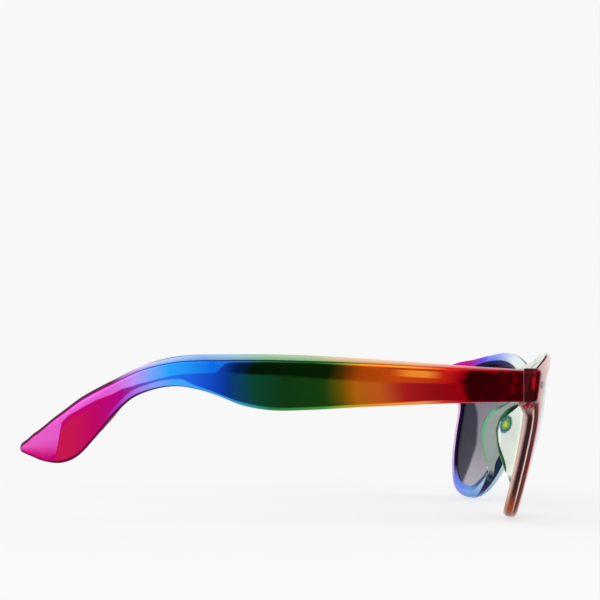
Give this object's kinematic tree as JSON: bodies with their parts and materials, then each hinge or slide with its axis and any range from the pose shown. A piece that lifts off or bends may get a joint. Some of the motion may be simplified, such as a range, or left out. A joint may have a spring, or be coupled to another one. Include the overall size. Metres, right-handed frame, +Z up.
{
  "type": "mirrored sunglasses",
  "caption": "Full-rim sunglasses with a one-piece moulded front, mirrored curved lenses and folding temples on three-barrel hinges.",
  "frame": {"origin": "middle of the bridge on its back face, where it sits over the nose", "axes": "+X to the wearer's left, +Y back along the open temples, +Z up; the front is upright but for its own lean"},
  "size_m": [0.1424, 0.1601, 0.0497],
  "materials": {
    "front_plastic": "glossy translucent plastic with an iridescent coating that runs from red through green and blue to magenta across the width",
    "temple_plastic": "glossy translucent plastic with an iridescent coating that runs from red at the hinge through green and blue to magenta at the tip",
    "lens_mirror": "mirrored grey lens",
    "hinge_metal": "nickel-plated",
    "screw_metal": "polished",
    "stud_metal": "polished"
  },
  "bodies": {
    "front": {"front_frame": "front_plastic", "right_lens": "lens_mirror", "left_lens": "lens_mirror", "right_front_leaf": "hinge_metal", "left_front_leaf": "hinge_metal", "right_hinge_screw": "screw_metal", "left_hinge_screw": "screw_metal", "right_stud": "stud_metal", "left_stud": "stud_metal"},
    "right_temple": {"right_temple": "temple_plastic", "right_temple_leaf": "hinge_metal"},
    "left_temple": {"left_temple": "temple_plastic", "left_temple_leaf": "hinge_metal"}
  },
  "joints": [
    {"name": "right_temple_fold", "type": "hinge", "parent": "front", "child": "right_temple", "pos_m": [-0.06557, 0.01547, -0.00046], "axis": [0, 0, -1], "range_deg": [0, 86]},
    {"name": "left_temple_fold", "type": "hinge", "parent": "front", "child": "left_temple", "pos_m": [0.06557, 0.01547, -0.00046], "axis": [0, 0, 1], "range_deg": [0, 92]}
  ]
}
